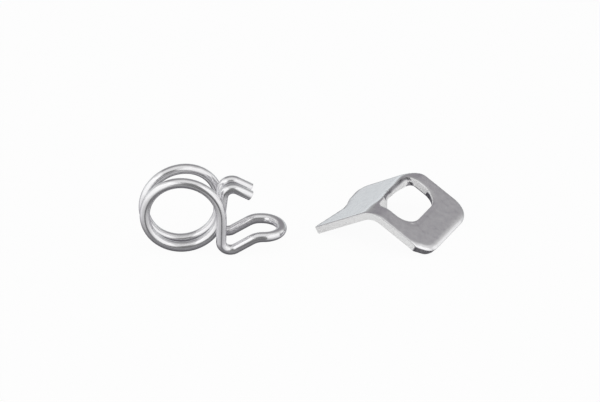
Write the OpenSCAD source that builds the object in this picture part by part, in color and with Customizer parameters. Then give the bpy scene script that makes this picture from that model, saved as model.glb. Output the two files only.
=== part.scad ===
// Double-wire spring hose clamp, bent from one length of wire, with its loose retaining clip.
// Both stand on the plane z = 0. The clamp's coils turn about an axis along Y, front at -Y.

/* [Coils] */
// Diameter of the spring wire
wire_d = 2.2; // [1.8:0.05:2.4]
// Bore of the two relaxed coils
bore_d = 14; // [12:0.5:22]
// Clear gap between the front and the rear coil at their lower halves
coil_gap = 1.35; // [0.6:0.05:1.6]
// Clear gap between each hook riser and the loop riser beside it
riser_gap = 0.45; // [0.42:0.01:0.6]

/* [Loop tab] */
// Clear gap between each hook and the loop's leg that rises beside it when squeezed
leg_gap = 0.12; // [0.08:0.01:0.2]
// Length of the loop from its risers to its rounded end
loop_l = 14.3; // [13.9:0.1:20]
// Length of each leg's level stretch, measured from the start of the rounded end
loop_level_l = 1.65; // [1.65:0.05:2.2]
// Height of the wire's centre where the rising and the level stretch would meet
loop_crest_h = 3.95; // [3.2:0.05:4.2]
// Angle at which the level stretch droops towards the end
loop_droop = 2.3; // [0:0.1:3.5]
// Bend radius at the foot of each riser, at the wire's centre
foot_bend_r = 2.5; // [2:0.1:2.6]
// Bend radius where each leg levels off, at the wire's centre
crest_bend_r = 4.7; // [3:0.1:4.8]
// How far each riser leans in towards the bore at its foot
riser_lean = 0.25; // [0:0.05:0.5]

/* [Hooks] */
// Angle short of a full turn at which each hook riser leaves its coil
hook_lead = 7.3; // [4:0.1:12]
// Height above the coils' axis where the hook's two straights would meet
hook_h = 6.9; // [6.4:0.1:10]
// Bend radius of the hook, at the wire's centre
hook_bend_r = 2.1; // [1.8:0.1:2.6]
// Length of the free end from that meeting point
hook_l = 6.5; // [5.5:0.1:9]
// Angle at which the free end slopes down
hook_droop = 30.5; // [15:0.5:35]

/* [Clip head] */
// Thickness of the clip's sheet
sheet_t = 1.7; // [1.2:0.1:2.2]
// Radius on the inside of the bend
bend_inner_r = 3.6; // [3.2:0.1:4.5]
// Angle through which the sheet is bent
bend_angle = 59; // [50:1:66]
// Length of the head's flat, from the bend to its end edge
head_l = 12.7; // [12:0.1:16]
// Full width of the head
head_w = 21.3; // [20.2:0.1:24]
// Radius of the head's far corner
head_corner_r = 4.7; // [3:0.1:6]
// Length of the slanting cut at the near corner, along the side edge
nick_l = 3.4; // [2.6:0.1:4.5]
// Width of that cut, along the end edge
nick_w = 2.3; // [1.5:0.1:3]
// Radius that blends that cut into the end edge
nick_r = 4; // [3:0.1:5]

/* [Clip tongue] */
// Length of the tongue's flat, from the bend to the tip of its point
tongue_l = 12.7; // [11.5:0.1:16]
// Full width of the tongue at the bend
tongue_w = 19.1; // [18.2:0.1:20]
// How much narrower the tongue is at its far corner
tongue_taper = 0.4; // [0:0.1:1]
// Radius of that far corner
tongue_corner_r = 2.5; // [1.5:0.1:4]
// How far the far corner lies back from the tip
corner_back = 1.5; // [1:0.1:2]
// How far the notch beside the point lies back from the tip
notch_back = 3.1; // [2.6:0.1:3.6]
// Width of the pointed part, from the straight edge to the notch
point_w = 6.8; // [6:0.1:9]
// Blunt width of the tip itself
tip_w = 0.7; // [0.5:0.1:1.2]
// Depth of the notch's step
notch_step = 0.3; // [0.2:0.05:0.6]
// Run of the notch's step along the end edge
notch_run = 1; // [0.6:0.1:1.6]

/* [Clip window] */
// Length of the window, measured over the bend on the outer face
window_l = 8.95; // [8:0.05:9.5]
// Width of the window
window_w = 13.8; // [13:0.1:14.5]
// Distance from the near edge to the window
window_y = 4.1; // [3.6:0.1:4.6]
// How far the window reaches past the middle of the bend
window_past = 0.95; // [0.5:0.05:1.1]
// Corner radius of the window
window_r = 3.5; // [2.8:0.1:3.6]

/* [Layout] */
// Distance along X from the loop's end to the clip's bend at its near edge
clip_dx = 18; // [18:0.5:30]
// Distance along Y from the coils' middle to the clip's bend at its near edge
clip_dy = -3.9; // [-8:0.1:0]
// Direction of the clip's bend line, turned from the X axis
clip_turn = 57.4; // [50:0.2:65]

/* [Hidden] */

// Sides of the wire, rings in a half coil, and the most that a bend turns between two rings
wire_sides = 16;
coil_rings = 30;
bend_step = 10;
round_fn = 120;
through = 1;
// A rounding is this much larger than its radius, so that it crosses its edges and doesn't just touch them
graze = 0.004;

// ---- sizes of the clamp, in a frame with the coils' axis on Y
wire_r = wire_d / 2;
coil_r = bore_d / 2 + wire_r;
axis_h = coil_r + wire_r;
hook_y = (wire_d + coil_gap) / 2;
riser_y = hook_y + wire_d + riser_gap;
leg_y = hook_y + wire_d + leg_gap;
end_x = coil_r + loop_l - wire_r;
riser_bend_r = 20;
riser_bend_z = -1.6;

// The foot bend rests on the table, and its leg runs as a tangent from it to the crest
foot_x = coil_r - riser_lean;
crest = [end_x - leg_y - loop_level_l, loop_crest_h - axis_h];
foot_centre = [foot_x + foot_bend_r, wire_r + foot_bend_r - axis_h];
foot_to_crest = crest - foot_centre;
leg_slope = atan2(foot_to_crest.y, foot_to_crest.x) + asin(foot_bend_r / norm(foot_to_crest));
foot_z = foot_centre.y - foot_bend_r * tan(45 + leg_slope / 2);
end_z = crest.y - (end_x - crest.x) * tan(loop_droop);

// Centre line of the loop from the front riser's top to the rear riser's top
loop_half = [
    [coil_r, -riser_y, 0],
    [coil_r, -riser_y, riser_bend_z],
    [foot_x, -leg_y, foot_z],
    [crest.x, -leg_y, crest.y],
    [end_x, -leg_y, end_z]
];
loop_half_r = [0, riser_bend_r, foot_bend_r, crest_bend_r, leg_y];
loop_line = concat(loop_half, [for (i = [len(loop_half) - 1:-1:0]) mirror_y(loop_half[i])]);
loop_line_r = concat(loop_half_r, [for (i = [len(loop_half_r) - 1:-1:0]) loop_half_r[i]]);

// Centre line of the front hook from the end of its coil to the free end
hook_out = [coil_r * cos(hook_lead), -hook_y, -coil_r * sin(hook_lead)];
hook_top = hook_out + (hook_h - hook_out.z) * [tan(hook_lead), 0, 1];
hook_tip = hook_top + hook_l * [cos(hook_droop), 0, -sin(hook_droop)];
hook_line = [hook_out, hook_top, hook_tip];
hook_line_r = [0, hook_bend_r, 0];

// The upper half coils slant from the loop's spacing to the hooks' spacing
coil_left = [-coil_r, -hook_y, 0];
coil_right = [coil_r, -riser_y, 0];
slant_r = norm(coil_right - coil_left) / 2;
slant_in = unit(coil_right - coil_left);

// ---- sizes of the clip, in a frame with the bend's axis on Y
bend_outer_r = bend_inner_r + sheet_t;
half_bend = bend_angle / 2;
head_foot = leg_foot(head_l);
tongue_foot = leg_foot(tongue_l);
// Turn about the bend that puts the head's end edge and the tongue's tip on the table
settle = atan2(head_foot.y - tongue_foot.y, head_foot.x + tongue_foot.x);
head_slope = half_bend + settle;
tongue_slope = half_bend - settle;
bend_h = head_l * sin(head_slope) - bend_inner_r * cos(head_slope);
window_start = settle - arc_angle(window_past);
window_end = window_l - window_past - bend_outer_r * half_bend * PI / 180;
shoulder_x = bend_outer_r * sin(half_bend);
// Corners of the flats, with X out from the bend and Y across from the near edge
head_shape = [
    [head_l - nick_l, 0],
    [head_l, nick_w],
    [head_l, head_w],
    [0, head_w]
];
tongue_shape = [
    [tongue_l, tip_w],
    [tongue_l - notch_back, point_w],
    [tongue_l - notch_back + notch_step, point_w + notch_run],
    [tongue_l - corner_back, tongue_w - tongue_taper],
    [0, tongue_w]
];

// ---- where the two stand: the origin is below the middle of the whole
clip_at = [end_x + wire_r + clip_dx, clip_dy];
far_corner = clip_plan(head_x(head_l - head_corner_r), head_w - head_corner_r);
tongue_round = round_centre(tongue_shape[2], tongue_shape[3], tongue_shape[4], tongue_corner_r);
tongue_corner = clip_plan(-tongue_x(tongue_round.x), tongue_round.y);
near_corner = clip_plan(head_x(head_l - nick_l), 0);
max_x = far_corner.x + head_corner_r * norm([sin(clip_turn) * cos(head_slope), cos(clip_turn)]);
max_y = tongue_corner.y + tongue_corner_r * norm([cos(clip_turn) * cos(tongue_slope), sin(clip_turn)]);
middle = [(max_x - coil_r - wire_r) / 2, (max_y + near_corner.y) / 2];

// ---- vectors
function unit(v) = v / norm(v);
function mirror_y(p) = [p.x, -p.y, p.z];

// ---- a bent wire is a list of points where its straights meet, with a radius at each
function heading(p, i) = unit(p[i + 1] - p[i]);
function turn_at(p, i) = acos(heading(p, i - 1) * heading(p, i));
function at_end(p, i) = i == 0 || i == len(p) - 1;
function cut_back(p, r, i) = at_end(p, i) ? 0 : r[i] * tan(turn_at(p, i) / 2);
function bend_in(p, r, i) = p[i] - heading(p, i - 1) * cut_back(p, r, i);
function inward(p, i) = unit(heading(p, i) - heading(p, i - 1) * (heading(p, i) * heading(p, i - 1)));

// ---- plan and section of the clip
function arc_angle(length) = length / bend_outer_r * 180 / PI;
function head_normal() = [sin(head_slope), cos(head_slope)];
function tongue_normal() = [-sin(tongue_slope), cos(tongue_slope)];
function leg_foot(l) = [
    bend_inner_r * sin(half_bend) + l * cos(half_bend),
    bend_inner_r * cos(half_bend) - l * sin(half_bend)
];
function head_x(s) = bend_outer_r * sin(head_slope) + s * cos(head_slope);
function tongue_x(s) = bend_outer_r * sin(tongue_slope) + s * cos(tongue_slope);
function clip_plan(x, y) = clip_at + [
    x * sin(clip_turn) + y * cos(clip_turn),
    y * sin(clip_turn) - x * cos(clip_turn)
];
function round_centre(a, b, c, r) =
    b + unit(unit(a - b) + unit(c - b)) * r / sin(acos(unit(a - b) * unit(c - b)) / 2);

// ---- the wire's centre line as points, one ring of the tube at each
function arc_points(start, along, into, r, angle, n) = [
    for (k = [0:n]) start + r * (into * (1 - cos(angle * k / n)) + along * sin(angle * k / n))
];
function bend_points(p, r, i) = arc_points(
    bend_in(p, r, i), heading(p, i - 1), inward(p, i), r[i], turn_at(p, i), ceil(turn_at(p, i) / bend_step)
);
// A straight needs no ring between the bends at its two ends
function wire_points(p, r) = concat(
    [p[0]],
    [for (i = [1:len(p) - 2]) each bend_points(p, r, i)],
    [p[len(p) - 1]]
);
function reversed(p) = [for (i = [len(p) - 1:-1:0]) p[i]];
function mirrored(p) = [for (q = p) mirror_y(q)];
function tail(p) = [for (i = [1:len(p) - 1]) p[i]];
// Two points that coincide, as where a bend follows a bend, become one
function distinct(p) = [for (i = [0:len(p) - 1]) if (i == 0 || norm(p[i] - p[max(i - 1, 0)]) > 0.001) p[i]];

upper_coil = arc_points(coil_left, [0, 0, 1], slant_in, slant_r, 180, coil_rings);
lower_coil = arc_points(coil_left, [0, 0, -1], [1, 0, 0], coil_r, 180 - hook_lead, coil_rings);
loop_path = distinct(concat(
    upper_coil,
    tail(wire_points(loop_line, loop_line_r)),
    tail(reversed(mirrored(upper_coil)))
));
hook_path = distinct(concat(lower_coil, tail(wire_points(hook_line, hook_line_r))));

// ---- least gap of the whole wire to itself, measured on points a short way apart
fine = 0.6;
function filled(p) = [
    for (i = [1:len(p) - 1])
        let (n = ceil(norm(p[i] - p[i - 1]) / fine))
            for (k = [1:n]) p[i - 1] + (p[i] - p[i - 1]) * k / n
];
whole_wire = concat(filled(reversed(hook_path)), filled(loop_path), filled(mirrored(hook_path)));
// Points closer than this along the wire belong to the same bend
same_bend = ceil(5 * wire_d / fine);
least_gap = min([
    for (i = [0:len(whole_wire) - 1])
        for (j = [i + same_bend:1:len(whole_wire) - 1])
            norm(whole_wire[j] - whole_wire[i])
]) - wire_d;
echo(least_gap_of_wire_to_itself = least_gap);

// ---- wire module: one unbroken tube along a path, with square ends
// side is square to the heading at the start and is carried along without twist
module tube(path, start, end, side) {
    last = len(path) - 1;
    steps = [for (i = [0:last - 1]) unit(path[i + 1] - path[i])];
    headings = [for (i = [0:last]) i == 0 ? start : i == last ? end : unit(steps[i - 1] + steps[i])];
    sides = [
        for (i = 0, u = side; i <= last; i = i + 1, u = i > last ? u : unit(u - headings[i] * (u * headings[i])))
            u
    ];
    rings = [
        for (i = [0:last], k = [0:wire_sides - 1])
            let (turn = 360 * k / wire_sides)
                path[i] + wire_r * (sides[i] * cos(turn) + cross(headings[i], sides[i]) * sin(turn))
    ];
    walls = [
        for (i = [0:last - 1], k = [0:wire_sides - 1])
            let (a = i * wire_sides + k, b = i * wire_sides + (k + 1) % wire_sides)
                each [[a, a + wire_sides, b], [b, a + wire_sides, b + wire_sides]]
    ];
    base = last * wire_sides;
    caps = [for (k = [1:wire_sides - 2]) each [[0, k, k + 1], [base, base + k + 1, base + k]]];
    polyhedron(points = rings, faces = concat(walls, caps), convexity = 8);
}

module clamp_place() {
    translate([-middle.x, -middle.y, axis_h])
        children();
}

// ---- clip modules
module on_head() {
    rotate([0, head_slope, 0])
        translate([0, 0, bend_inner_r])
            children();
}

module on_tongue() {
    rotate([0, -tongue_slope, 0])
        translate([0, 0, bend_inner_r])
            mirror([1, 0, 0])
                children();
}

// What a corner b between a and c loses when it is rounded to radius r
module corner_waste(a, b, c, r) {
    centre = round_centre(a, b, c, r);
    back = centre - b;
    reach = sqrt(back * back - r * r);
    difference() {
        polygon([b - 0.1 * back, b + unit(a - b) * reach, b + 0.9 * back, b + unit(c - b) * reach]);
        translate(centre)
            rotate(atan2(back.y, back.x))
                circle(r = r + graze, $fn = round_fn);
    }
}

// Section of all that lies under a face bent to radius r, with flats of two lengths
module under_face(r, head, tongue) {
    ridge = r / cos(half_bend) * [sin(settle), cos(settle)];
    head_tip = r * head_normal() + head * [cos(head_slope), -sin(head_slope)];
    tongue_tip = r * tongue_normal() - tongue * [cos(tongue_slope), sin(tongue_slope)];
    depth = 2 * sheet_t;
    difference() {
        polygon([head_tip, ridge, tongue_tip, tongue_tip - depth * tongue_normal(), head_tip - depth * head_normal()]);
        corner_waste(head_tip, ridge, tongue_tip, r);
    }
}

module bent_strip() {
    translate([0, head_w, 0])
        rotate([90, 0, 0])
            linear_extrude(height = head_w)
                difference() {
                    under_face(bend_outer_r, head_l, tongue_l);
                    under_face(bend_inner_r, head_l + through, tongue_l + through);
                }
}

// Cuts straight through a flat whatever is drawn on it
module punch() {
    translate([0, 0, -through])
        linear_extrude(height = sheet_t + 2 * through)
            children();
}

// Slanting cut at the head's near corner
module nick_waste() {
    cut = head_shape[1] - head_shape[0];
    polygon([head_shape[0] - 0.3 * cut, head_shape[1] + 0.3 * cut, [head_l + cut.x, -cut.y]]);
}

module head_waste() {
    punch()
        nick_waste();
    punch()
        corner_waste(head_shape[0], head_shape[1], head_shape[2], nick_r);
    punch()
        corner_waste(head_shape[1], head_shape[2], head_shape[3], head_corner_r);
}

module tongue_waste() {
    beyond = tongue_l + through;
    punch()
        polygon(concat([[beyond, tip_w]], tongue_shape, [[0, head_w + through], [beyond, head_w + through]]));
    punch()
        corner_waste(tongue_shape[2], tongue_shape[3], tongue_shape[4], tongue_corner_r);
}

// Over the bend the far edge steps in smoothly from the head's width to the tongue's
module shoulder_waste() {
    steps = 8;
    edge = [
        for (k = [0:steps])
            [shoulder_x * (2 * k / steps - 1), tongue_w + (head_w - tongue_w) * (1 - cos(180 * k / steps)) / 2]
    ];
    outside = [[shoulder_x, head_w + through], [-2 * shoulder_x, head_w + through], [-2 * shoulder_x, tongue_w]];
    translate([0, 0, -through])
        linear_extrude(height = bend_outer_r + 2 * through)
            polygon(concat(edge, outside));
}

// Draws a feature of the window's near side on both sides
module both_sides() {
    translate([0, window_y, 0])
        children();
    translate([0, window_y + window_w, 0])
        mirror([0, 1, 0])
            children();
}

// The window's part on the head's flat starts a little inside the bend
module window_on_head() {
    inside = 0.5;
    difference() {
        translate([-inside, window_y])
            square([window_end + inside, window_w]);
        both_sides()
            corner_waste([0, 0], [window_end, 0], [window_end, window_w], window_r);
    }
}

// Sector of a ring about the bend's axis, between two angles from the vertical
module sector(from, to, r0, r1, y0, y1) {
    rotate([90, 0, 0])
        rotate([0, 0, 90 - to])
            rotate_extrude(angle = to - from, $fn = round_fn)
                translate([r0, -y1])
                    square([r1 - r0, y1 - y0]);
}

// The window's part over the bend runs on a little into the head's flat
module window_on_bend() {
    inside = 3;
    r0 = bend_inner_r - through;
    r1 = bend_outer_r + through;
    corner_angle = window_start + arc_angle(window_r);
    sector(corner_angle, head_slope + inside, r0, r1, window_y, window_y + window_w);
    sector(window_start, corner_angle + inside, r0, r1, window_y + window_r, window_y + window_w - window_r);
    both_sides()
        intersection() {
            translate([0, window_r, 0])
                rotate([0, corner_angle, 0])
                    translate([0, 0, r0])
                        cylinder(h = r1 - r0, r = window_r, $fn = round_fn);
            rotate([0, window_start, 0])
                translate([0, -through, 0])
                    cube([2 * r1, 2 * window_r + 2 * through, r1 + through]);
        }
}

module clip_place() {
    translate([clip_at.x - middle.x, clip_at.y - middle.y, bend_h])
        rotate([0, 0, clip_turn - 90])
            children();
}

// ---- sub-parts
// Loop tab, its two risers and the upper halves of both coils, one unbroken wire
module loop_wire() {
    color("silver")
        clamp_place()
            tube(loop_path, [0, 0, 1], [0, 0, -1], [1, 0, 0]);
}

// Lower half of the front coil with its riser and hooked free end
module hook_wire_front() {
    color("silver")
        clamp_place()
            tube(hook_path, [0, 0, -1], heading(hook_line, 1), [1, 0, 0]);
}

// Lower half of the rear coil, the mirror image of the front one
module hook_wire_rear() {
    color("silver")
        clamp_place()
            mirror([0, 1, 0])
                tube(hook_path, [0, 0, -1], heading(hook_line, 1), [1, 0, 0]);
}

// Bent sheet with a window over its bend, which slips over the pressed tabs
module retaining_clip() {
    color("lightslategray")
        clip_place()
            difference() {
                bent_strip();
                on_head() {
                    head_waste();
                    punch()
                        window_on_head();
                }
                on_tongue()
                    tongue_waste();
                shoulder_waste();
                window_on_bend();
            }
}

loop_wire();
hook_wire_front();
hook_wire_rear();
retaining_clip();
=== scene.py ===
"""A double-wire spring hose clamp, bent from one length of wire, with its loose retaining clip."""

import math

import bpy
import numpy as np
from mathutils import Matrix, Vector


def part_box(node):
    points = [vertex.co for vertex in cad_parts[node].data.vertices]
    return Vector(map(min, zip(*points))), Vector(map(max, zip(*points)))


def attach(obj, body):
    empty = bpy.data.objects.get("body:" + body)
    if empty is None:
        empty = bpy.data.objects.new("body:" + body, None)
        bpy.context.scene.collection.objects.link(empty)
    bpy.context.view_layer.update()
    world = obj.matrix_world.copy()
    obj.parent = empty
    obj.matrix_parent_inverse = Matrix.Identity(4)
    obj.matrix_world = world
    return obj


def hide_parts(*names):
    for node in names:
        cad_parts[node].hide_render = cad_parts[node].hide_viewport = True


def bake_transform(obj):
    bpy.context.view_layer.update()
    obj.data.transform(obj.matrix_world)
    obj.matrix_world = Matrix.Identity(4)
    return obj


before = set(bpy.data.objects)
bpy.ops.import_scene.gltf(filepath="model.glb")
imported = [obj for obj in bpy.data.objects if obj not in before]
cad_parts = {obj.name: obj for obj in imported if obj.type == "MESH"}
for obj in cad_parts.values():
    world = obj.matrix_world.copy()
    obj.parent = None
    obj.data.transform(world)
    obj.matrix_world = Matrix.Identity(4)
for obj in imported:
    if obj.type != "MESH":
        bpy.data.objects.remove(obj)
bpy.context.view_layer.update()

MM = 0.001
Z = Vector((0, 0, 1))
# Metres within which points are one, meet at a mirrored wire's middle, or lie on a plane
SAME_POINT, AT_MIDDLE, ON_PLANE = 1e-7, 2e-6, 1e-6

# ---- sizes of the clamp in millimetres, in a frame with the coils' axis on Y
WIRE_R = 1.1
COIL_R = 8.1
AXIS_H = COIL_R + WIRE_R
HOOK_Y, RISER_Y, LEG_Y = 1.775, 4.425, 4.095  # each from the clamp's middle
RISER_BEND_Z, RISER_BEND_R = -1.6, 20
TAB_L = 14.3  # from the riser's centre line to the tab's outer end
END_X = COIL_R + TAB_L - WIRE_R
CREST_BACK, CREST_H, CREST_R = 1.65, 3.95, 4.7
CREST_X, CREST_Z = END_X - LEG_Y - CREST_BACK, CREST_H - AXIS_H
LOOP_DROOP = math.radians(2.3)
FOOT_R, FOOT_IN = 2.1, 0.25
FOOT_X = COIL_R - FOOT_IN
HOOK_LEAD, HOOK_H, HOOK_L = math.radians(7.3), 6.9, 6.5
HOOK_R, HOOK_DROOP = 2.1, math.radians(30.5)
HOOK_RIM = 0.08

hook_low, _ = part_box("hook_wire_front")
loop_low, loop_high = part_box("loop_wire")
COIL_AXIS = Vector((hook_low.x / MM + AXIS_H, (loop_low.y + loop_high.y) / 2 / MM, AXIS_H))


def place(point):
    """A point of the clamp's own frame, in metres in the row frame."""
    return (Vector(point) + COIL_AXIS) * MM


# ---- working in edit mode
def deselect():
    """Leaves edit mode and selects nothing."""
    if bpy.context.object and bpy.context.object.mode != "OBJECT":
        bpy.ops.object.mode_set(mode="OBJECT")
    bpy.ops.object.select_all(action="DESELECT")


def edit():
    bpy.ops.object.mode_set(mode="EDIT")


def leave():
    bpy.ops.object.mode_set(mode="OBJECT")


def pick(mesh, kind, test):
    """Selects the vertices, edges or faces that pass a test, from object mode, and opens edit mode."""
    edit()
    bpy.ops.mesh.select_mode(type=kind)
    bpy.ops.mesh.select_all(action="DESELECT")
    leave()
    parts = {"VERT": mesh.vertices, "EDGE": mesh.edges, "FACE": mesh.polygons}[kind]
    for part in parts:
        part.select = bool(test(part))
    edit()


def settle(piece):
    """Gives the piece its place in its mesh."""
    deselect()
    piece.select_set(True)
    bpy.context.view_layer.objects.active = piece
    bpy.ops.object.transform_apply(location=True, rotation=True, scale=True)


# ---- bending wire: a ring of wire is drawn along its straights and spun round its bends
SIDES = 40
DRAWN_R = 1.089  # a touch under WIRE_R, so that the round wire stays inside the CAD's flats
RING_TURN = 4  # degrees of a bend from one ring of points to the next


def bends(points, radii):
    """Straights and bends of a wire whose straights meet at these points."""
    steps, cut = [], 0.0
    for i in range(1, len(points)):
        run = points[i] - points[i - 1]
        if i == len(points) - 1:
            steps.append(("straight", run.normalized(), run.length - cut))
            break
        out = (points[i + 1] - points[i]).normalized()
        turn = run.normalized().angle(out)
        back = radii[i] * math.tan(turn / 2)
        steps.append(("straight", run.normalized(), run.length - cut - back))
        steps.append(("bend", run.cross(out).normalized(), radii[i], turn))
        cut = back
    return steps


def bend_wire(name, start, heading, steps):
    """A tube from start, in metres: each step draws its end on. Returns it and the way its end points."""
    turn = heading.to_track_quat("Z", "Y").to_euler()
    deselect()
    bpy.ops.mesh.primitive_circle_add(
        vertices=SIDES, radius=DRAWN_R * MM, fill_type="NGON", location=start, rotation=turn
    )
    wire = bpy.context.object
    wire.name = wire.data.name = name
    settle(wire)
    at, way = start.copy(), heading.normalized()
    edit()
    bpy.ops.mesh.select_mode(type="FACE")
    bpy.ops.mesh.select_all(action="SELECT")
    for step in steps:
        if step[0] == "straight":
            length = step[2] * MM
            if length < SAME_POINT:
                continue
            bpy.ops.mesh.extrude_region_move(TRANSFORM_OT_translate={"value": way * length})
            at = at + way * length
            continue
        axis, radius, angle = step[1], step[2] * MM, step[3]
        centre = at + axis.cross(way) * radius
        rings = max(2, round(math.degrees(angle) / RING_TURN))
        bpy.ops.mesh.spin(steps=rings, angle=-angle, center=centre, axis=axis)
        turned = Matrix.Rotation(angle, 3, axis)
        at, way = centre + turned @ (at - centre), turned @ way
    leave()
    return wire, way


def finish_wire(wire, mirror=False):
    """Mirrors half a wire if asked, closes it and turns its faces out."""
    deselect()
    wire.select_set(True)
    bpy.context.view_layer.objects.active = wire
    if mirror:
        wire.data.transform(Matrix.Translation((0, -COIL_AXIS.y * MM, 0)))
        double = wire.modifiers.new("other half", "MIRROR")
        double.use_axis = (False, True, False)
        double.use_clip = True
        double.merge_threshold = AT_MIDDLE
        bpy.ops.object.modifier_apply(modifier=double.name)
        wire.data.transform(Matrix.Translation((0, COIL_AXIS.y * MM, 0)))
    edit()
    bpy.ops.mesh.select_all(action="SELECT")
    bpy.ops.mesh.remove_doubles(threshold=SAME_POINT)
    bpy.ops.mesh.normals_make_consistent(inside=False)
    leave()
    bpy.ops.object.shade_smooth_by_angle(angle=math.radians(40))


# The left of each coil bends as the clamp is squeezed, this far below and above its middle
FLEX = math.radians(50)
coil_left = Vector((-COIL_R, -HOOK_Y, 0))
coil_right = Vector((COIL_R, -RISER_Y, 0))
coil_across = (coil_right - coil_left).normalized()
upper_axis = Z.cross(coil_across)
lower_axis = Vector((0, 1, 0))
upper_r = (coil_right - coil_left).length / 2
upper_centre = (coil_right + coil_left) / 2

leg_rise = Vector((CREST_X - FOOT_X - FOOT_R, CREST_Z - (WIRE_R + FOOT_R - AXIS_H)))
leg_slope = math.atan2(leg_rise.y, leg_rise.x) + math.asin(FOOT_R / leg_rise.length)
foot_z = WIRE_R - AXIS_H + FOOT_R - FOOT_R * math.tan(math.pi / 4 + leg_slope / 2)
bow_start = END_X - LEG_Y

# Upper coil, riser and leg of the front half, up to the middle of the rounded end
turned = Matrix.Rotation(FLEX, 3, upper_axis)
start = upper_centre + turned @ (coil_left - upper_centre)
steps = [("bend", upper_axis, upper_r, math.pi - FLEX)]
steps += bends(
    [
        coil_right,
        Vector((COIL_R, -RISER_Y, RISER_BEND_Z)),
        Vector((FOOT_X, -LEG_Y, foot_z)),
        Vector((CREST_X, -LEG_Y, CREST_Z)),
        Vector((bow_start, -LEG_Y, CREST_Z - (bow_start - CREST_X) * math.tan(LOOP_DROOP))),
    ],
    [0, RISER_BEND_R, FOOT_R, CREST_R, 0],
)
bow_axis = Vector((math.sin(LOOP_DROOP), 0, math.cos(LOOP_DROOP)))
steps.append(("bend", bow_axis, LEG_Y, math.pi / 2))
loop, _ = bend_wire("loop_tab_wire", place(start), turned @ Z, steps)
pick(loop.data, "FACE", lambda f: abs(f.center.y - COIL_AXIS.y * MM) < ON_PLANE)
bpy.ops.mesh.delete(type="ONLY_FACE")
leave()
finish_wire(loop, mirror=True)

# Lower coil, riser and hook, front and rear
below = Matrix.Rotation(-FLEX, 3, lower_axis)
start = below @ coil_left
hook_out = Vector((COIL_R * math.cos(HOOK_LEAD), -HOOK_Y, -COIL_R * math.sin(HOOK_LEAD)))
riser = Vector((math.sin(HOOK_LEAD), 0, math.cos(HOOK_LEAD)))
hook_top = hook_out + riser * (HOOK_H - hook_out.z) / riser.z
hook_tip = hook_top + HOOK_L * Vector((math.cos(HOOK_DROOP), 0, -math.sin(HOOK_DROOP)))
steps = [("bend", -lower_axis, COIL_R, math.pi - FLEX - HOOK_LEAD)]
steps += bends([hook_out, hook_top, hook_tip + (hook_tip - hook_top).normalized()], [0, HOOK_R, 0])
hook_front, tip_way = bend_wire("hook_wire_front_bent", place(start), -(below @ Z), steps)
finish_wire(hook_front)

# The left of the coil joins the two
steps = [("bend", lower_axis, COIL_R, FLEX), ("bend", upper_axis, upper_r, FLEX)]
flex_front, _ = bend_wire("coil_side_front", place(start), below @ Z, steps)
finish_wire(flex_front)


def rear_of(piece, name):
    """The mirror image of a front piece, with its own mesh."""
    other = piece.copy()
    other.data = piece.data.copy()
    other.name = other.data.name = name
    bpy.context.scene.collection.objects.link(other)
    middle = COIL_AXIS.y * MM
    other.data.transform(Matrix(((1, 0, 0, 0), (0, -1, 0, 2 * middle), (0, 0, 1, 0), (0, 0, 0, 1))))
    finish_wire(other)
    return other


def shear_end(hook, side, further, slant):
    """Shears a hook's free end off at a slant, that many millimetres past its tip, and breaks its rim.

    The side is 1 for the front hook and -1 for the rear one."""
    tip = place(Vector((hook_tip.x, side * hook_tip.y, hook_tip.z))) + tip_way * further * MM
    cut_way = Matrix.Rotation(math.radians(slant), 3, Vector((0, 1, 0))) @ tip_way
    deselect()
    hook.select_set(True)
    bpy.context.view_layer.objects.active = hook
    edit()
    bpy.ops.mesh.select_all(action="SELECT")
    bpy.ops.mesh.bisect(plane_co=tip, plane_no=cut_way, clear_outer=True, use_fill=True)
    leave()
    pick(hook.data, "EDGE", lambda e: all(
        abs((hook.data.vertices[v].co - tip).dot(cut_way)) < ON_PLANE for v in e.vertices
    ))
    bpy.ops.mesh.bevel(offset=HOOK_RIM * MM, segments=3, affect="EDGES")
    leave()
    finish_wire(hook)


hook_rear = rear_of(hook_front, "hook_wire_rear_bent")
flex_rear = rear_of(flex_front, "coil_side_rear")
shear_end(hook_front, 1, -0.08, 2)
shear_end(hook_rear, -1, 0.14, 6)

# ---- the clip is punched flat and then bent. Until then it is drawn in millimetres: X runs along the
# sheet from the middle of the bend, and Y across it from the near edge
SHEET = 1.7
SHEET_RIM = 0.06
BEND_R = 5.3  # of the upper face
HALF = math.radians(29.5)  # half of the bend
ARC = BEND_R * HALF
LEG_L = 12.7
HEAD_END = ARC + LEG_L
TONGUE_END = -ARC - LEG_L
HEAD_W, TONGUE_W = 21.3, 19.1
SHOULDER_STEPS = 10
WINDOW_LEFT, WINDOW_RIGHT, WINDOW_NEAR, WINDOW_FAR = -1.25, 8.18, 4.0, 18.0
WINDOW_ARC_POINTS = 16
CLIP_TURN = math.radians(57.4)


def rounded(corners, arc_points=None):
    """Outline with each (x, y, radius) corner rounded, in that many steps or about 6 degrees each."""
    outline = []
    for i, (x, y, r) in enumerate(corners):
        b = Vector((x, y))
        if not r:
            outline.append(b)
            continue
        a = Vector(corners[i - 1][:2]) - b
        c = Vector(corners[(i + 1) % len(corners)][:2]) - b
        a.normalize()
        c.normalize()
        open_angle = a.angle(c)
        centre = b + (a + c).normalized() * r / math.sin(open_angle / 2)
        back = r / math.tan(open_angle / 2)
        first, last = b + a * back - centre, b + c * back - centre
        turn = math.pi - open_angle
        count = arc_points or max(4, round(math.degrees(turn) / 6))
        for k in range(count + 1):
            t = turn * k / count
            outline.append(centre + (first * math.sin(turn - t) + last * math.sin(t)) / math.sin(turn))
    return outline


def shoulder_width(k):
    """The sheet's width at a step of the shoulder, from the head's at 0 to the tongue's at the last."""
    return TONGUE_W + (HEAD_W - TONGUE_W) * (1 + math.cos(math.pi * k / SHOULDER_STEPS)) / 2


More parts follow.
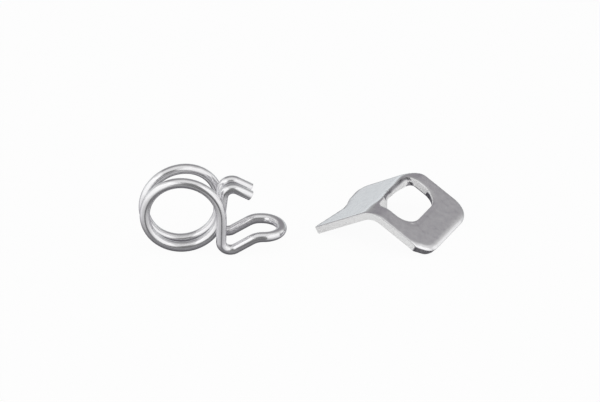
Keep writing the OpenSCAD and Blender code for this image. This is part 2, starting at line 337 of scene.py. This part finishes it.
shoulder = [
    (ARC - 2 * ARC * k / SHOULDER_STEPS, shoulder_width(k), 0) for k in range(SHOULDER_STEPS + 1)
]
blank_outline = rounded(
    [
        (TONGUE_END, 0, 0),
        (HEAD_END - 3.4, 0, 0.25),
        (HEAD_END, 2.3, 4.0),
        (HEAD_END, HEAD_W, 4.7),
        *shoulder,
        (TONGUE_END + 1.7, TONGUE_W - 0.4, 2.4),
        (TONGUE_END + 2.2, 12.6, 1.5),
        (TONGUE_END + 3.3, 9.6, 0.6),
        (TONGUE_END + 3.6, 7.4, 1.2),
        (TONGUE_END + 2.3, 4.9, 2.0),
        (TONGUE_END, 0.7, 0.3),
    ]
)
window_outer = rounded(
    [
        (WINDOW_LEFT + 0.85, WINDOW_NEAR, 0.8),
        (WINDOW_RIGHT, WINDOW_NEAR, 3.9),
        (WINDOW_RIGHT, WINDOW_FAR, 4.2),
        (WINDOW_LEFT, WINDOW_FAR, 1.5),
        (WINDOW_LEFT, WINDOW_NEAR + 5.3, 2.0),
        (WINDOW_LEFT + 0.83, WINDOW_NEAR + 2.4, 2.0),
    ],
    WINDOW_ARC_POINTS,
)
# The punch breaks out below: the side at the bend leans over and its near corner is left full
window_inner = rounded(
    [
        (WINDOW_LEFT + 3.8, WINDOW_NEAR + 0.2, 2.0),
        (WINDOW_RIGHT + 0.5, WINDOW_NEAR + 0.2, 2.4),
        (WINDOW_RIGHT + 0.5, WINDOW_FAR - 0.1, 3.6),
        (WINDOW_LEFT + 1.55, WINDOW_FAR - 0.1, 2.4),
        (WINDOW_LEFT - 0.35, WINDOW_NEAR + 5.9, 1.2),
        (WINDOW_LEFT + 1.6, WINDOW_NEAR + 2.9, 1.0),
    ],
    WINDOW_ARC_POINTS,
)


def punched(name, levels):
    """A slab through these (height, outline) levels, drawn from a many-cornered disc."""
    deselect()
    top, outline = levels[0]
    bpy.ops.mesh.primitive_circle_add(vertices=len(outline), radius=1, fill_type="NGON")
    slab = bpy.context.object
    slab.name = slab.data.name = name
    for corner, point in zip(slab.data.vertices, outline):
        corner.co = (point.x, point.y, top)
    edit()
    bpy.ops.mesh.select_mode(type="FACE")
    bpy.ops.mesh.select_all(action="SELECT")
    for height, next_outline in levels[1:]:
        bpy.ops.mesh.extrude_region_move(TRANSFORM_OT_translate={"value": (0, 0, height - top)})
        leave()
        for vertex in slab.data.vertices:
            if abs(vertex.co.z - height) < 1e-6:
                nearest = min(range(len(outline)), key=lambda i: (outline[i] - vertex.co.xy).length)
                vertex.co.xy = next_outline[nearest]
        top, outline = height, next_outline
        edit()
    bpy.ops.mesh.select_all(action="SELECT")
    bpy.ops.mesh.normals_make_consistent(inside=False)
    leave()
    return slab


def use_modifier(piece, kind, **settings):
    """Puts a modifier with these settings on the piece and applies it."""
    modifier = piece.modifiers.new(kind.lower(), kind)
    for key, value in settings.items():
        setattr(modifier, key, value)
    deselect()
    piece.select_set(True)
    bpy.context.view_layer.objects.active = piece
    bpy.ops.object.modifier_apply(modifier=modifier.name)


clip = punched("retaining_clip_bent", [(0, blank_outline), (-SHEET, blank_outline)])
punch = punched(
    "punch",
    [(1, window_outer), (-0.2, window_outer), (-SHEET, window_inner), (-SHEET - 1, window_inner)],
)
use_modifier(clip, "BOOLEAN", operation="DIFFERENCE", object=punch, solver="EXACT")
bpy.data.objects.remove(punch)
use_modifier(
    clip, "BEVEL", width=SHEET_RIM, segments=2, limit_method="ANGLE", angle_limit=math.radians(40),
    use_clamp_overlap=True, harden_normals=False,
)

# Cuts through the sheet's depth, along it and across it let it bend and roll over at its edges
edit()
for level in (-0.35, -0.6, -0.85, -1.1, -1.35):
    bpy.ops.mesh.select_all(action="SELECT")
    bpy.ops.mesh.bisect(plane_co=(0, 0, level), plane_no=(0, 0, 1))
bend_cuts = np.arange(-ARC - 0.4, ARC + 0.41, 0.3)
head_cuts = np.arange(ARC + 0.8, HEAD_END, 0.4)
tongue_cuts = np.arange(-ARC - 1.2, TONGUE_END, -0.8)
for x in (*bend_cuts, *head_cuts, *tongue_cuts):
    bpy.ops.mesh.select_all(action="SELECT")
    bpy.ops.mesh.bisect(plane_co=(x, 0, 0), plane_no=(1, 0, 0))
for y in np.arange(0.4, HEAD_W, 0.4):
    bpy.ops.mesh.select_all(action="SELECT")
    bpy.ops.mesh.bisect(plane_co=(0, y, 0), plane_no=(0, 1, 0))
bpy.ops.mesh.select_all(action="SELECT")
bpy.ops.mesh.quads_convert_to_tris(quad_method="BEAUTY", ngon_method="BEAUTY")
leave()


def distance_to(points, outline):
    """How far each of the points lies from a closed outline."""
    ends = np.array([tuple(p) for p in outline])
    starts = np.roll(ends, 1, axis=0)
    best = np.full(len(points), 1e9)
    for a, b in zip(starts, ends):
        run = b - a
        t = np.clip(((points - a) @ run) / max(run @ run, 1e-12), 0, 1)
        best = np.minimum(best, np.linalg.norm(points - a - t[:, None] * run, axis=1))
    return best


def smooth(x, a, b):
    """Rises softly from 0 at a to 1 at b."""
    t = np.clip((x - a) / (b - a), 0, 1)
    return t * t * (3 - 2 * t)


flat = np.array([vertex.co for vertex in clip.data.vertices])
along, across = flat[:, 0], flat[:, 1]
depth = np.clip(-flat[:, 2] / SHEET, 0, 1)
outer_gap = distance_to(flat[:, :2], blank_outline)
window_gap = np.minimum(distance_to(flat[:, :2], window_outer), distance_to(flat[:, :2], window_inner))

# Punching draws the upper face down towards its edges, most at the head's end
head_end = smooth(along, 9.5, 13.0) * (1 - smooth(across, 17.0, 20.5))
ROLL_W, ROLL_W_HEAD, ROLL_W_WINDOW = 0.35, 1.35, 0.6
ROLL_H, ROLL_H_HEAD, ROLL_H_WINDOW = 0.05, 0.38, 0.10
roll_w = ROLL_W + ROLL_W_HEAD * head_end
roll_h = ROLL_H + ROLL_H_HEAD * head_end
outer_roll = roll_h * np.clip(1 - outer_gap / roll_w, 0, 1) ** (2 + head_end)
window_roll = ROLL_H_WINDOW * np.clip(1 - window_gap / ROLL_W_WINDOW, 0, 1) ** 2
sink = np.maximum(outer_roll, window_roll) * (1 - depth) ** 1.5

# Beside the window the sheet stays straight for longer before it bends
STRAIGHT_L, STRAIGHT_SHARE = 2.2, 0.88
beside = smooth(across, 2.6, 5.6) * (1 - smooth(across, 12.5, 17.5)) * (1 - smooth(along, -1.1, 0.5))
straight_on = np.clip(along + ARC, 0, STRAIGHT_L)
flat[:, 2] += STRAIGHT_SHARE * beside * straight_on ** 2 / (2 * BEND_R) - sink

# The end's wall leans back under the sheet
END_LEAN = 0.3
flat[:, 0] -= END_LEAN * depth * smooth(along, HEAD_END - 1.5, HEAD_END)

# How deep in the sheet each point is, from 0 on its upper face to 1 below
cut_depth = clip.data.attributes.new("cut_depth", "FLOAT", "POINT")
cut_depth.data.foreach_set("value", depth.astype(np.float32))

# Polished dark where the punch rubbed past, and torn light and rough where the steel broke away. On some
# walls and edges the same dark is painted shade and painted dark reflection. How deep the dark reaches, as a
# share of the sheet, differs along the walls
# Along the outer edges the dark is a thin painted dark reflection on the upper rim
EDGE_DARK_REFLECTION, SLID_WINDOW, SLID_BEND, NICK_DARK_REFLECTION = 0.06, -0.1, 0.58, 1.3
in_window = window_gap < outer_gap
bend_side = in_window & (along < 0.3 + 1.4 * depth) & (across > 7.2)
nick = ~in_window & (along > HEAD_END - 3.9) & (across < 3.6)
slid_and_shade = np.where(in_window, SLID_WINDOW, EDGE_DARK_REFLECTION)
slid_and_shade = np.where(bend_side, SLID_BEND - 0.22 * smooth(across, 14.5, 17.0), slid_and_shade)
# The nick's facet is dark through its whole depth, a painted dark reflection of what lies below it
slid_and_shade[nick] = NICK_DARK_REFLECTION
burnish_and_shade = np.clip(0.5 + 2.0 * (slid_and_shade - depth), 0, 1)

# In the window's far corner the lower part of the wall is dark too, a painted shadow; the far wall is darker
# along its lower edge; the right wall is light along its top, a painted highlight of its rim, and dark below
shaded_far_corner = in_window & (across > 15.6) & (along > 0.1) & (along < 0.5 + 1.5 * depth)
burnish_and_shade[shaded_far_corner & (depth > 0.6)] = 1.0
burnish_and_shade[in_window & (across > 17) & (along > 2) & (along < 6) & (depth > 0.93)] = 1.0
highlit_right_side = in_window & (along > 5.35) & (across > 10)
burnish_and_shade[highlit_right_side] = 1.15 * np.clip(0.5 + 4 * (depth[highlit_right_side] - 0.25), 0, 1)

# Halved, so that painted shade can deepen it most in the bend side's far corner; the nick's painted dark
# grows lighter to its end
shade_corner = bend_side & (across > 15.6)
burnish_and_shade = 0.5 * burnish_and_shade + np.where(shade_corner, 0.18 * burnish_and_shade * smooth(across, 15.4, 16.8), 0)
burnish_and_shade[nick] *= 1 - 0.42 * smooth(along[nick], HEAD_END - 3.8, HEAD_END - 2.6)
burnished_and_shaded = clip.data.attributes.new("burnished_and_shaded", "FLOAT", "POINT")
burnished_and_shaded.data.foreach_set("value", burnish_and_shade.astype(np.float32))

# Bends the sheet about a line across it, and stands it on its ends
angle = np.clip(along / BEND_R, -HALF, HALF)
beyond = along - angle * BEND_R
reach = BEND_R + flat[:, 2]
bent_x = reach * np.sin(angle) + beyond * np.cos(angle)
bent_z = reach * np.cos(angle) - beyond * np.sin(angle)
stand = LEG_L * math.sin(HALF) - (BEND_R - SHEET) * math.cos(HALF)
bent = np.column_stack(
    [
        bent_x * math.sin(CLIP_TURN) + across * math.cos(CLIP_TURN),
        across * math.sin(CLIP_TURN) - bent_x * math.cos(CLIP_TURN),
        bent_z + stand,
    ]
)
clip_low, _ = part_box("retaining_clip")
bent[:, 0] += clip_low.x / MM - bent[:, 0].min()
bent[:, 1] += clip_low.y / MM - bent[:, 1].min()
clip.data.vertices.foreach_set("co", (bent * MM).astype(np.float32).ravel())
clip.data.update()
deselect()
clip.select_set(True)
bpy.context.view_layer.objects.active = clip
edit()
bpy.ops.mesh.select_all(action="SELECT")
bpy.ops.mesh.normals_make_consistent(inside=False)
leave()
bpy.ops.object.shade_smooth_by_angle(angle=math.radians(35))


# ---- materials
def new_material(name):
    """A material whose Principled shader feeds its surface."""
    material = bpy.data.materials.new(name)
    material.use_nodes = True
    nodes = material.node_tree.nodes
    nodes.clear()
    out = nodes.new("ShaderNodeOutputMaterial")
    shader = nodes.new("ShaderNodeBsdfPrincipled")
    material.node_tree.links.new(shader.outputs["BSDF"], out.inputs["Surface"])
    return material, nodes, material.node_tree.links, shader


def metal_grain():
    """Cloudy mottling and fine scratches of worked steel, as a mask and a height."""
    group = bpy.data.node_groups.new("worked_steel", "ShaderNodeTree")
    face = group.interface
    face.new_socket("Place", in_out="INPUT", socket_type="NodeSocketVector")
    face.new_socket("Cloud Scale", in_out="INPUT", socket_type="NodeSocketFloat")
    face.new_socket("Grain Scale", in_out="INPUT", socket_type="NodeSocketFloat")
    face.new_socket("Cloud", in_out="OUTPUT", socket_type="NodeSocketFloat")
    face.new_socket("Grain", in_out="OUTPUT", socket_type="NodeSocketFloat")
    nodes, links = group.nodes, group.links
    given, result = nodes.new("NodeGroupInput"), nodes.new("NodeGroupOutput")
    cloud = nodes.new("ShaderNodeTexNoise")
    cloud.inputs["Detail"].default_value = 4
    cloud.inputs["Roughness"].default_value = 0.6
    grain = nodes.new("ShaderNodeTexNoise")
    grain.inputs["Detail"].default_value = 3
    links.new(given.outputs["Place"], cloud.inputs["Vector"])
    links.new(given.outputs["Cloud Scale"], cloud.inputs["Scale"])
    links.new(given.outputs["Place"], grain.inputs["Vector"])
    links.new(given.outputs["Grain Scale"], grain.inputs["Scale"])
    links.new(cloud.outputs["Fac"], result.inputs["Cloud"])
    links.new(grain.outputs["Fac"], result.inputs["Grain"])
    return group


GRAIN = metal_grain()


def ramp(nodes, stops):
    """A colour ramp through these (position, grey or colour) stops."""
    node = nodes.new("ShaderNodeValToRGB")
    while len(node.color_ramp.elements) < len(stops):
        node.color_ramp.elements.new(0.5)
    for element, (position, value) in zip(node.color_ramp.elements, stops):
        element.position = position
        element.color = (*value, 1) if hasattr(value, "__len__") else (value, value, value, 1)
    return node


def wire_finish():
    """Bright drawn wire, faintly mottled."""
    material, nodes, links, shader = new_material("bright_spring_wire")
    shader.inputs["Metallic"].default_value = 1.0
    where = nodes.new("ShaderNodeTexCoord")
    grain = nodes.new("ShaderNodeGroup")
    grain.node_tree = GRAIN
    grain.inputs["Cloud Scale"].default_value = 260
    grain.inputs["Grain Scale"].default_value = 2600
    links.new(where.outputs["Object"], grain.inputs["Place"])
    colour = ramp(nodes, [(0.30, (0.84, 0.83, 0.845)), (0.70, (0.92, 0.92, 0.93))])
    links.new(grain.outputs["Cloud"], colour.inputs["Fac"])
    links.new(colour.outputs["Color"], shader.inputs["Base Color"])
    rough = ramp(nodes, [(0.30, 0.14), (0.75, 0.21)])
    links.new(grain.outputs["Cloud"], rough.inputs["Fac"])
    links.new(rough.outputs["Color"], shader.inputs["Roughness"])
    bump = nodes.new("ShaderNodeBump")
    bump.inputs["Strength"].default_value = 0.12
    bump.inputs["Distance"].default_value = 0.00003
    links.new(grain.outputs["Grain"], bump.inputs["Height"])
    links.new(bump.outputs["Normal"], shader.inputs["Normal"])
    return material


def sheet_finish():
    """Satin sheet with a faint grain; its punched walls are polished dark by the punch or torn light.

    On some walls and edges the dark is painted shade and painted dark reflection, and the light a painted
    highlight.
    """
    material, nodes, links, shader = new_material("satin_spring_sheet")
    where = nodes.new("ShaderNodeTexCoord")
    grain = nodes.new("ShaderNodeGroup")
    grain.node_tree = GRAIN
    grain.inputs["Cloud Scale"].default_value = 760
    grain.inputs["Grain Scale"].default_value = 3800
    links.new(where.outputs["Object"], grain.inputs["Place"])

    def read(name):
        node = nodes.new("ShaderNodeAttribute")
        node.attribute_name = name
        return node.outputs["Fac"]

    def mixed(kind, fac, first, second):
        """First at 0 and second at 1, each a value or what another node puts out."""
        node = nodes.new("ShaderNodeMix")
        node.data_type = kind
        links.new(fac, node.inputs["Factor"])
        for socket, value in (("A", first), ("B", second)):
            target = [one for one in node.inputs if one.name == socket and one.enabled][0]
            if isinstance(value, bpy.types.NodeSocket):
                links.new(value, target)
            else:
                target.default_value = value
        return [one for one in node.outputs if one.enabled][0]

    # The walls lie between the two faces, and the grain makes the border of the dark uneven
    wall = ramp(nodes, [(0.0, 0.0), (0.006, 1.0), (0.994, 1.0), (1.0, 0.0)])
    links.new(read("cut_depth"), wall.inputs["Fac"])
    jag = nodes.new("ShaderNodeMath")
    jag.operation = "MULTIPLY_ADD"
    jag.inputs[1].default_value = 0.12
    links.new(grain.outputs["Grain"], jag.inputs[0])
    links.new(read("burnished_and_shaded"), jag.inputs[2])
    slid_and_shade = ramp(nodes, [(0.27, 0.0), (0.35, 1.0)])
    links.new(jag.outputs[0], slid_and_shade.inputs["Fac"])

    face_colour = ramp(nodes, [
        (0.30, (0.82, 0.81, 0.83)),
        (0.40, (0.905, 0.90, 0.915)),
        (0.60, (0.95, 0.945, 0.955)),
        (0.70, (0.99, 0.985, 0.99)),
    ])
    links.new(grain.outputs["Cloud"], face_colour.inputs["Fac"])
    # Light of the torn walls, and a painted highlight along the top of the window's right wall
    torn_and_highlight_colour = ramp(nodes, [(0.35, (0.95, 0.95, 0.95)), (0.60, (1.0, 1.0, 1.0))])
    links.new(grain.outputs["Grain"], torn_and_highlight_colour.inputs["Fac"])
    # Dark of the polished walls, and of the painted shade and painted dark reflections
    slid_and_shade_colour = ramp(nodes, [
        (0.40, (0.58, 0.57, 0.59)),
        (0.50, (0.31, 0.305, 0.32)),
        (0.95, (0.15, 0.145, 0.155)),
    ])
    links.new(jag.outputs[0], slid_and_shade_colour.inputs["Fac"])

    in_wall, in_slid_and_shade = wall.outputs["Color"], slid_and_shade.outputs["Color"]
    wall_colour = mixed("RGBA", in_slid_and_shade, torn_and_highlight_colour.outputs["Color"], slid_and_shade_colour.outputs["Color"])
    colour = mixed("RGBA", in_wall, face_colour.outputs["Color"], wall_colour)
    links.new(colour, shader.inputs["Base Color"])
    face_rough = ramp(nodes, [(0.30, 0.18), (0.75, 0.25)])
    links.new(grain.outputs["Cloud"], face_rough.inputs["Fac"])
    wall_rough = mixed("FLOAT", in_slid_and_shade, 0.60, 0.24)
    rough = mixed("FLOAT", in_wall, face_rough.outputs["Color"], wall_rough)
    links.new(rough, shader.inputs["Roughness"])
    wall_metal = mixed("FLOAT", in_slid_and_shade, 0.08, 1.0)
    links.new(mixed("FLOAT", in_wall, 1.0, wall_metal), shader.inputs["Metallic"])
    bump = nodes.new("ShaderNodeBump")
    bump.inputs["Strength"].default_value = 0.15
    bump.inputs["Distance"].default_value = 0.00004
    links.new(grain.outputs["Grain"], bump.inputs["Height"])
    links.new(bump.outputs["Normal"], shader.inputs["Normal"])
    return material


def paint(piece, material):
    piece.data.materials.clear()
    piece.data.materials.append(material)


WIRE, SHEET_STEEL = wire_finish(), sheet_finish()
for piece in (loop, hook_front, hook_rear, flex_front, flex_rear):
    paint(piece, WIRE)
paint(clip, SHEET_STEEL)
for name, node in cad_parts.items():
    paint(node, SHEET_STEEL if name == "retaining_clip" else WIRE)

# ---- what each piece moves with
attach(loop, "loop_side")
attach(hook_front, "hook_side")
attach(hook_rear, "hook_side")
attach(clip, "clip")
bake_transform(flex_front)
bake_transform(flex_rear)
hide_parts("loop_wire")
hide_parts("hook_wire_front")
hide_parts("hook_wire_rear")
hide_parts("retaining_clip")


# ---- floor
def floor_finish():
    """Pale glossy table: white to the eye; in the metal it shows its sheen and a painted glow.

    The glow is painted shade in front of the pieces and where it is seen steeply, and painted light behind
    them, where it is seen at a slant."""
    material = bpy.data.materials.new("pale_table")
    material.use_nodes = True
    nodes, links = material.node_tree.nodes, material.node_tree.links
    nodes.clear()
    out = nodes.new("ShaderNodeOutputMaterial")
    matt = nodes.new("ShaderNodeBsdfDiffuse")
    matt.inputs["Color"].default_value = (0.93, 0.93, 0.93, 1)
    white = nodes.new("ShaderNodeEmission")
    # A glow seen only in the metal: painted shade in front of the pieces and seen steeply, painted light
    # behind them
    painted_glow = nodes.new("ShaderNodeEmission")
    painted_glow.inputs["Color"].default_value = (1.0, 0.98, 1.08, 1)
    sheen = nodes.new("ShaderNodeBsdfGlossy")
    sheen.inputs["Color"].default_value = (0.95, 0.95, 0.95, 1)
    sheen.inputs["Roughness"].default_value = 0.07

    # How strong the painted glow is: painted shade in front of the pieces and seen steeply, painted light
    # behind them
    where = nodes.new("ShaderNodeTexCoord")
    apart = nodes.new("ShaderNodeSeparateXYZ")
    links.new(where.outputs["Object"], apart.inputs[0])
    painted_light_behind = nodes.new("ShaderNodeMapRange")
    painted_light_behind.interpolation_type = "SMOOTHSTEP"
    for socket, value in (("From Min", -0.019), ("From Max", -0.010), ("To Min", 0.0), ("To Max", 0.46)):
        painted_light_behind.inputs[socket].default_value = value
    links.new(apart.outputs["Y"], painted_light_behind.inputs["Value"])
    graze = nodes.new("ShaderNodeLayerWeight")
    graze.inputs["Blend"].default_value = 0.5
    slanting = ramp(nodes, [(0.36, 0.0), (0.66, 1.0)])
    links.new(graze.outputs["Facing"], slanting.inputs["Fac"])
    painted_glow_level = nodes.new("ShaderNodeMath")
    painted_glow_level.operation = "MULTIPLY_ADD"
    painted_glow_level.inputs[2].default_value = 0.11
    links.new(painted_light_behind.outputs["Result"], painted_glow_level.inputs[0])
    links.new(slanting.outputs["Color"], painted_glow_level.inputs[1])
    links.new(painted_glow_level.outputs[0], painted_glow.inputs["Strength"])

    # The camera meets plain white with a little of the matt table and its shadows, metal the sheen
    # and the painted glow, and other rays the matt table
    rays = nodes.new("ShaderNodeLightPath")
    table, seen, lit = (nodes.new("ShaderNodeMixShader") for _ in range(3))
    share = nodes.new("ShaderNodeMath")
    share.operation = "MULTIPLY"
    share.inputs[1].default_value = 0.95
    straight = nodes.new("ShaderNodeMath")
    straight.operation = "MAXIMUM"
    links.new(graze.outputs["Facing"], table.inputs[0])
    links.new(painted_glow.outputs[0], table.inputs[1])
    links.new(sheen.outputs[0], table.inputs[2])
    links.new(rays.outputs["Is Camera Ray"], straight.inputs[0])
    links.new(rays.outputs["Is Transmission Ray"], straight.inputs[1])
    links.new(straight.outputs[0], share.inputs[0])
    links.new(share.outputs[0], lit.inputs[0])
    links.new(matt.outputs[0], lit.inputs[1])
    links.new(white.outputs[0], lit.inputs[2])
    links.new(rays.outputs["Is Glossy Ray"], seen.inputs[0])
    links.new(lit.outputs[0], seen.inputs[1])
    links.new(table.outputs[0], seen.inputs[2])
    links.new(seen.outputs[0], out.inputs["Surface"])
    return material


deselect()
bpy.ops.mesh.primitive_plane_add(size=12, location=(0, 0, 0))
floor = bpy.context.object
floor.name = "floor"
paint(floor, floor_finish())


# ---- light
def soft_light(name, azimuth, elevation, distance, width, height, level):
    """A soft box, in metres, that shows at that level in a mirror. Azimuth 0 is in front, 90 to the right."""
    a, e = math.radians(azimuth), math.radians(elevation)
    way = Vector((math.sin(a) * math.cos(e), -math.cos(a) * math.cos(e), math.sin(e)))
    lamp = bpy.data.lights.new(name, "AREA")
    lamp.shape = "RECTANGLE"
    lamp.size, lamp.size_y = width, height
    lamp.energy = math.pi * width * height * level
    light = bpy.data.objects.new(name, lamp)
    light.location = way * distance
    light.rotation_euler = way.to_track_quat("Z", "Y").to_euler()
    bpy.context.scene.collection.objects.link(light)


soft_light("soft_box_left", -66, 20, 1.0, 1.95, 0.95, 0.38)
soft_light("soft_screen_left", -81, 24, 1.2, 3.95, 1.55, 0.30)
soft_light("soft_box_right", 50, 19, 1.0, 1.25, 0.90, 0.38)
soft_light("soft_screen_right", 66, 21, 1.2, 2.70, 1.48, 0.26)
soft_light("soft_strip_right", 103, 12, 1.2, 0.40, 0.56, 0.36)
soft_light("soft_box_above", 0, 74, 1.0, 1.50, 0.95, 0.28)


def studio_air():
    """The room around the pieces. Its greys go by height, and have stops of their own behind, in front,
    and in the darker gap between the soft boxes straight in front."""
    world = bpy.data.worlds.new("studio")
    world.use_nodes = True
    bpy.context.scene.world = world
    nodes, links = world.node_tree.nodes, world.node_tree.links
    nodes.clear()
    out = nodes.new("ShaderNodeOutputWorld")
    air = nodes.new("ShaderNodeBackground")
    where = nodes.new("ShaderNodeTexCoord")
    split = nodes.new("ShaderNodeSeparateXYZ")
    links.new(where.outputs["Generated"], split.inputs[0])

    def maths(kind, a, b):
        node = nodes.new("ShaderNodeMath")
        node.operation = kind
        for socket, value in zip(node.inputs, (a, b)):
            if isinstance(value, (int, float)):
                socket.default_value = value
            else:
                links.new(value, socket)
        return node.outputs[0]

    # Stops run from the horizon at 0 to overhead at 1
    height = split.outputs["Z"]
    front = ramp(nodes, [(0.0, 0.36), (0.37, 0.35), (0.60, 0.44), (0.79, 0.56), (1.0, 0.50)])
    gap = ramp(nodes, [(0.0, 0.24), (0.37, 0.155), (0.60, 0.30), (0.79, 0.54), (1.0, 0.50)])
    back = ramp(nodes, [
        (0.0, (0.95, 0.995, 1.015)),
        (0.045, (0.89, 0.935, 0.955)),
        (0.09, (0.59, 0.62, 0.63)),
        (0.16, (0.48, 0.49, 0.495)),
        (0.25, 0.31),
        (0.60, (0.276, 0.261, 0.286)),
        (0.80, 0.31),
        (1.0, 0.50),
    ])

    # The heading runs from -1 in front to 1 behind; a touch over 1 below keeps it finite overhead
    level = maths("SQRT", maths("SUBTRACT", 1.0001, maths("MULTIPLY", height, height)), 0)
    heading = maths("DIVIDE", split.outputs["Y"], level)

    def blend(first, second, start, end):
        """Goes from one colour to the other as the heading goes from start to end."""
        share = nodes.new("ShaderNodeMapRange")
        share.interpolation_type = "SMOOTHSTEP"
        share.inputs["From Min"].default_value = start
        share.inputs["From Max"].default_value = end
        links.new(heading, share.inputs["Value"])
        mix = nodes.new("ShaderNodeMix")
        mix.data_type = "RGBA"
        links.new(share.outputs["Result"], mix.inputs["Factor"])
        links.new(first, mix.inputs["A"])
        links.new(second, mix.inputs["B"])
        return mix.outputs["Result"]

    for air_ramp in (gap, front, back):
        links.new(height, air_ramp.inputs["Fac"])
    around = blend(gap.outputs["Color"], front.outputs["Color"], -0.99, -0.90)
    around = blend(around, back.outputs["Color"], 0.25, 0.95)
    links.new(around, air.inputs["Color"])
    links.new(air.outputs[0], out.inputs["Surface"])


studio_air()

# ---- camera
CAMERA_TURN, CAMERA_TILT, CAMERA_FAR = math.radians(-5.39), math.radians(29.38), 0.8
CAMERA_AIM = (25.27, 0, 0.79)
aim = place(CAMERA_AIM)
right = Vector((math.cos(CAMERA_TURN), math.sin(CAMERA_TURN), 0))
behind = Vector((
    math.sin(CAMERA_TURN) * math.cos(CAMERA_TILT),
    -math.cos(CAMERA_TURN) * math.cos(CAMERA_TILT),
    math.sin(CAMERA_TILT),
))
above = behind.cross(right)
lens = bpy.data.cameras.new("camera")
lens.sensor_width = 36
lens.lens = 224.4
lens.clip_start, lens.clip_end = 0.05, 50
camera = bpy.data.objects.new("camera", lens)
turn = Matrix((right, above, behind)).transposed()
camera.matrix_world = Matrix.Translation(aim + behind * CAMERA_FAR) @ turn.to_4x4()
bpy.context.scene.collection.objects.link(camera)
bpy.context.scene.camera = camera

bpy.context.scene.view_settings.view_transform = "Standard"
